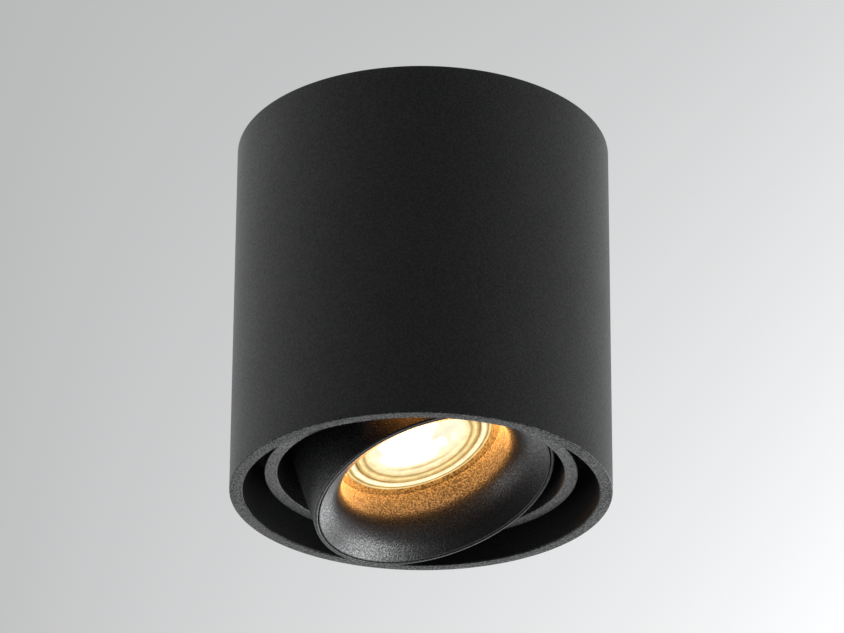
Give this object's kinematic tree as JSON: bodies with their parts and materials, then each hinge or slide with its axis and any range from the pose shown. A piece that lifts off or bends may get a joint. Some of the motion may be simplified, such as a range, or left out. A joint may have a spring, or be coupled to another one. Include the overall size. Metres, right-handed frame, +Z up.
{
  "type": "surface mounted ceiling spotlight",
  "caption": "Cylindrical surface mounted ceiling spotlight with a swivel ring, a tilting lamp head and a pull-out flared glare baffle.",
  "frame": {"origin": "centre of the two ceiling screw slots, on the plate's upper face against the ceiling", "axes": "+Z up into the ceiling along the housing's axis; +X along the row of the two screw slots, and the way the head shines at rest; the tilt axis runs along Y"},
  "size_m": [0.1, 0.1, 0.1106],
  "materials": {
    "powder_coat_black": "fine textured matt black powder coat on aluminium",
    "zinc_plated_steel": "bright zinc plate",
    "spring_steel": "oiled spring steel",
    "white_nylon": "natural moulded nylon",
    "black_rubber": "matt moulded rubber",
    "brass": "turned brass",
    "wire_insulation": "heat resistant silicone sleeve",
    "earth_insulation": "green and yellow insulation",
    "white_ceramic": "unglazed white ceramic",
    "clear_glass": "clear pressed glass",
    "reflector_coating": "bright metallised bowl",
    "filament": "tungsten"
  },
  "bodies": {
    "fixture": {"housing": "powder_coat_black", "carrier_ring": "powder_coat_black", "ceiling_plate": "zinc_plated_steel", "mounting_lugs": "zinc_plated_steel", "grub_screws": "spring_steel", "cable_grommet": "black_rubber", "terminal_block": "white_nylon", "terminal_sleeves": "brass", "terminal_screws": "zinc_plated_steel", "block_screw": "zinc_plated_steel", "earth_screw": "zinc_plated_steel", "earth_eyelet": "brass", "earth_wire": "earth_insulation", "glide_washer": "white_nylon", "retaining_ring": "spring_steel", "stop_pin": "spring_steel", "feed_wires": "wire_insulation"},
    "ring": {"swivel_ring": "powder_coat_black", "pivot_bushes": "white_nylon"},
    "head": {"head_can": "powder_coat_black", "can_back": "powder_coat_black", "pivot_screws": "zinc_plated_steel", "pivot_spacers": "zinc_plated_steel", "friction_washers": "spring_steel", "lampholder_bracket": "zinc_plated_steel", "bracket_screws": "zinc_plated_steel", "lampholder": "white_ceramic", "lampholder_contacts": "brass", "lampholder_screws": "zinc_plated_steel", "lampholder_wires": "wire_insulation"},
    "baffle": {"glare_baffle": "powder_coat_black", "baffle_springs": "spring_steel"},
    "lamp": {"lamp_lens": "clear_glass", "lamp_reflector": "reflector_coating", "lamp_base": "white_ceramic", "lamp_pins": "brass", "lamp_capsule": "clear_glass", "lamp_filament": "filament"}
  },
  "joints": [
    {"name": "ring_swivel", "type": "hinge", "parent": "fixture", "child": "ring", "pos_m": [0, 0, -0.0878], "axis": [0, 0, 1], "range_deg": [-175, 175], "deforming": ["feed_wires"]},
    {"name": "head_tilt", "type": "hinge", "parent": "ring", "child": "head", "pos_m": [0, 0, -0.0878], "axis": [0, -1, 0], "range_deg": [-39.5, 0.5], "deforming": ["lampholder_wires"]},
    {"name": "baffle_pull", "type": "slide", "parent": "head", "child": "baffle", "axis": [0.3338, 0, -0.9426], "range_m": [0, 0.02]},
    {"name": "lamp_twist", "type": "hinge", "parent": "head", "child": "lamp", "pos_m": [0, 0, -0.0878], "axis": [-0.3338, 0, 0.9426], "range_deg": [0, 30]}
  ]
}
